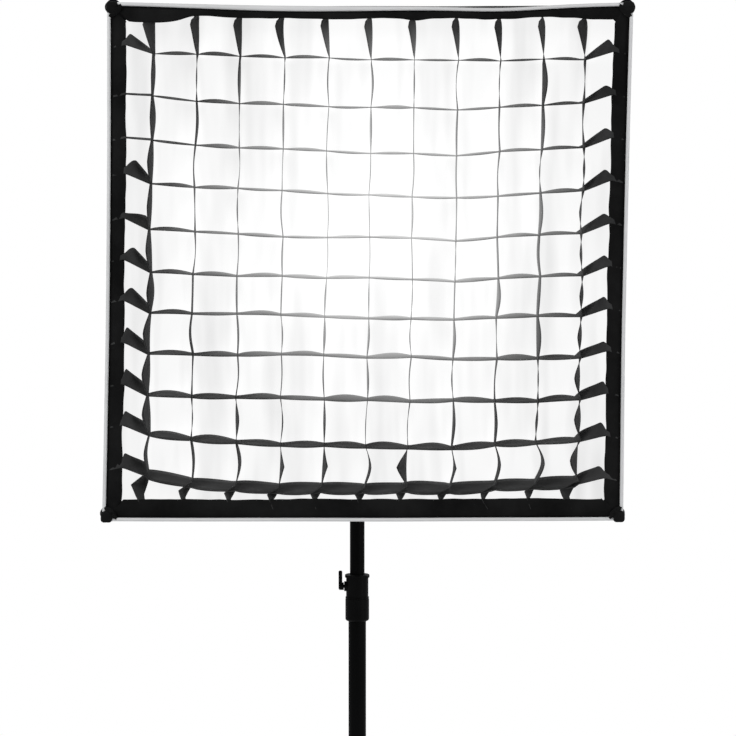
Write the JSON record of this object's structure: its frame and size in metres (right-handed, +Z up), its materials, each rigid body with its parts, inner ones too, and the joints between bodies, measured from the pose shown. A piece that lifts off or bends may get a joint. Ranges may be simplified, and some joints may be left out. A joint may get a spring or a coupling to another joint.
{
  "type": "square softbox with fabric grid on light stand",
  "caption": "Square fabric softbox with a white front diffuser and black egg-crate grid, on a tilting lamp head and folding light stand.",
  "frame": {"origin": "on the floor, under the middle of the box round the whole object", "axes": "+Z up; the softbox faces -Y; +X is to the right seen from in front of the softbox"},
  "size_m": [0.9432, 0.8182, 1.8566],
  "materials": {
    "black_tube": "satin black powder coat",
    "black_casting": "fine textured black coat",
    "black_plastic": "moulded, fine grain",
    "black_rubber": "matte rubber",
    "black_cloth": "matte woven nylon",
    "black_elastic": "woven elastic",
    "grey_binding": "light grey woven tape",
    "white_cloth": "thin white diffusion cloth",
    "lit_cloth": "white diffusion cloth, lit from behind",
    "bare_steel": "zinc plated",
    "bare_aluminium": "machined",
    "led_chip": "phosphor on a pale board"
  },
  "bodies": {
    "base": {"base_tube": "black_tube", "lower_hub": "black_plastic", "hub_rivets": "bare_steel", "middle_collar": "black_plastic"},
    "leg_collar_body": {"leg_collar": "black_plastic"},
    "leg_knob_body": {"leg_collar_knob": "black_plastic"},
    "middle": {"middle_tube": "black_tube", "riser_collar": "black_plastic"},
    "riser": {"riser_tube": "black_tube", "spigot": "bare_steel"},
    "riser_lever_body": {"riser_clamp_lever": "black_plastic"},
    "middle_lever_body": {"middle_clamp_lever": "black_plastic"},
    "bracket": {"stand_receiver": "black_casting", "yoke": "black_casting", "yoke_bolts": "bare_steel"},
    "receiver_knob_body": {"receiver_lock_knob": "black_plastic"},
    "tilt_lever_body": {"tilt_lock_lever": "black_plastic"},
    "head": {"lamp_housing": "black_casting", "lamp_rear_cover": "black_plastic", "bayonet_ring": "bare_aluminium", "led_module": "led_chip", "heat_sink": "bare_aluminium", "power_inlet": "black_plastic", "speed_ring": "bare_aluminium", "rod_sockets": "bare_aluminium", "rod_upper_left": "bare_steel", "rod_upper_right": "bare_steel", "rod_lower_left": "bare_steel", "rod_lower_right": "bare_steel", "corner_cap_upper_left": "black_rubber", "corner_cap_upper_right": "black_rubber", "corner_cap_lower_left": "black_rubber", "corner_cap_lower_right": "black_rubber", "shell_top_panel": "black_cloth", "shell_right_panel": "black_cloth", "shell_bottom_panel": "black_cloth", "shell_left_panel": "black_cloth", "rim_binding": "grey_binding", "inner_baffle": "white_cloth", "baffle_straps": "black_elastic", "front_diffuser": "lit_cloth", "grid_border": "black_cloth", "grid_upright_strips": "black_cloth", "grid_level_strips": "black_cloth"},
    "latch_body": {"bayonet_latch": "black_plastic"},
    "dimmer_body": {"dimmer_knob": "black_plastic"},
    "switch_body": {"power_switch": "black_plastic"},
    "fan_body": {"cooling_fan": "black_plastic"},
    "brace_1_body": {"brace_1": "black_tube"},
    "leg_1_body": {"leg_1": "black_tube", "leg_rivets_1": "bare_steel", "foot_1": "black_rubber"},
    "brace_2_body": {"brace_2": "black_tube"},
    "leg_2_body": {"leg_2": "black_tube", "leg_rivets_2": "bare_steel", "foot_2": "black_rubber"},
    "brace_3_body": {"brace_3": "black_tube"},
    "leg_3_body": {"leg_3": "black_tube", "leg_rivets_3": "bare_steel", "foot_3": "black_rubber"}
  },
  "joints": [
    {"name": "leg_collar_slide", "type": "slide", "parent": "base", "child": "leg_collar_body", "axis": [0, 0, 1], "range_m": [0, 0.1686]},
    {"name": "brace_1_fold", "type": "hinge", "parent": "base", "child": "brace_1_body", "pos_m": [0, 0.09135, 0.12], "axis": [1, 0, 0], "range_deg": [-55, 0]},
    {"name": "leg_1_fold", "type": "hinge", "parent": "brace_1_body", "child": "leg_1_body", "pos_m": [0, -0.0613, 0.21538], "axis": [1, 0, 0], "range_deg": [0, 110]},
    {"name": "brace_2_fold", "type": "hinge", "parent": "base", "child": "brace_2_body", "pos_m": [0.03464, 0.15135, 0.12], "axis": [-0.5, 0.866, 0], "range_deg": [-55, 0]},
    {"name": "leg_2_fold", "type": "hinge", "parent": "brace_2_body", "child": "leg_2_body", "pos_m": [0.16684, 0.22767, 0.21538], "axis": [-0.5, 0.866, 0], "range_deg": [0, 110]},
    {"name": "brace_3_fold", "type": "hinge", "parent": "base", "child": "brace_3_body", "pos_m": [-0.03464, 0.15135, 0.12], "axis": [-0.5, -0.866, 0], "range_deg": [-55, 0]},
    {"name": "leg_3_fold", "type": "hinge", "parent": "brace_3_body", "child": "leg_3_body", "pos_m": [-0.16684, 0.22767, 0.21538], "axis": [-0.5, -0.866, 0], "range_deg": [0, 110]},
    {"name": "leg_knob_turn", "type": "hinge", "parent": "leg_collar_body", "child": "leg_knob_body", "pos_m": [0, 0.17335, 0.31077], "axis": [0, 1, 0], "range_deg": [0, 360]},
    {"name": "middle_slide", "type": "slide", "parent": "base", "child": "middle", "axis": [0, 0, 1], "range_m": [-0.21, 0.05]},
    {"name": "middle_lever_turn", "type": "hinge", "parent": "base", "child": "middle_lever_body", "pos_m": [-0.03, 0.13135, 0.5744], "axis": [1, 0, 0], "range_deg": [-170, 170]},
    {"name": "riser_slide", "type": "slide", "parent": "middle", "child": "riser", "axis": [0, 0, 1], "range_m": [-0.3, 0.06]},
    {"name": "riser_lever_turn", "type": "hinge", "parent": "middle", "child": "riser_lever_body", "pos_m": [-0.028, 0.13135, 0.8764], "axis": [1, 0, 0], "range_deg": [-170, 170]},
    {"name": "head_swivel", "type": "hinge", "parent": "riser", "child": "bracket", "pos_m": [0, 0.13135, 1.26], "axis": [0, 0, 1], "continuous": true},
    {"name": "receiver_knob_turn", "type": "hinge", "parent": "bracket", "child": "receiver_knob_body", "pos_m": [0, 0.16135, 1.26], "axis": [0, 1, 0], "range_deg": [0, 360]},
    {"name": "head_tilt", "type": "hinge", "parent": "bracket", "child": "head", "pos_m": [0, 0.13135, 1.45], "axis": [1, 0, 0], "range_deg": [-90, 35]},
    {"name": "tilt_lever_turn", "type": "hinge", "parent": "bracket", "child": "tilt_lever_body", "pos_m": [0.085, 0.13135, 1.45], "axis": [1, 0, 0], "range_deg": [-60, 60]},
    {"name": "latch_slide", "type": "slide", "parent": "head", "child": "latch_body", "axis": [0, 0, 1], "range_m": [0, 0.004], "stiffness_N_per_m": 300, "springref_m": -0.003},
    {"name": "dimmer_turn", "type": "hinge", "parent": "head", "child": "dimmer_body", "pos_m": [0.024, 0.24135, 1.462], "axis": [0, 1, 0], "range_deg": [-135, 135]},
    {"name": "switch_rock", "type": "hinge", "parent": "head", "child": "switch_body", "pos_m": [-0.024, 0.23935, 1.462], "axis": [1, 0, 0], "range_deg": [-7, 7]},
    {"name": "fan_spin", "type": "hinge", "parent": "head", "child": "fan_body", "pos_m": [0, 0.13935, 1.45], "axis": [0, 1, 0], "continuous": true}
  ],
  "couplings": [
    {"joint": "brace_1_fold", "follows": "leg_collar_slide", "rad_per_m": -5.6907},
    {"joint": "leg_1_fold", "follows": "leg_collar_slide", "rad_per_m": 11.381},
    {"joint": "brace_2_fold", "follows": "leg_collar_slide", "rad_per_m": -5.6907},
    {"joint": "leg_2_fold", "follows": "leg_collar_slide", "rad_per_m": 11.381},
    {"joint": "brace_3_fold", "follows": "leg_collar_slide", "rad_per_m": -5.6907},
    {"joint": "leg_3_fold", "follows": "leg_collar_slide", "rad_per_m": 11.381}
  ]
}
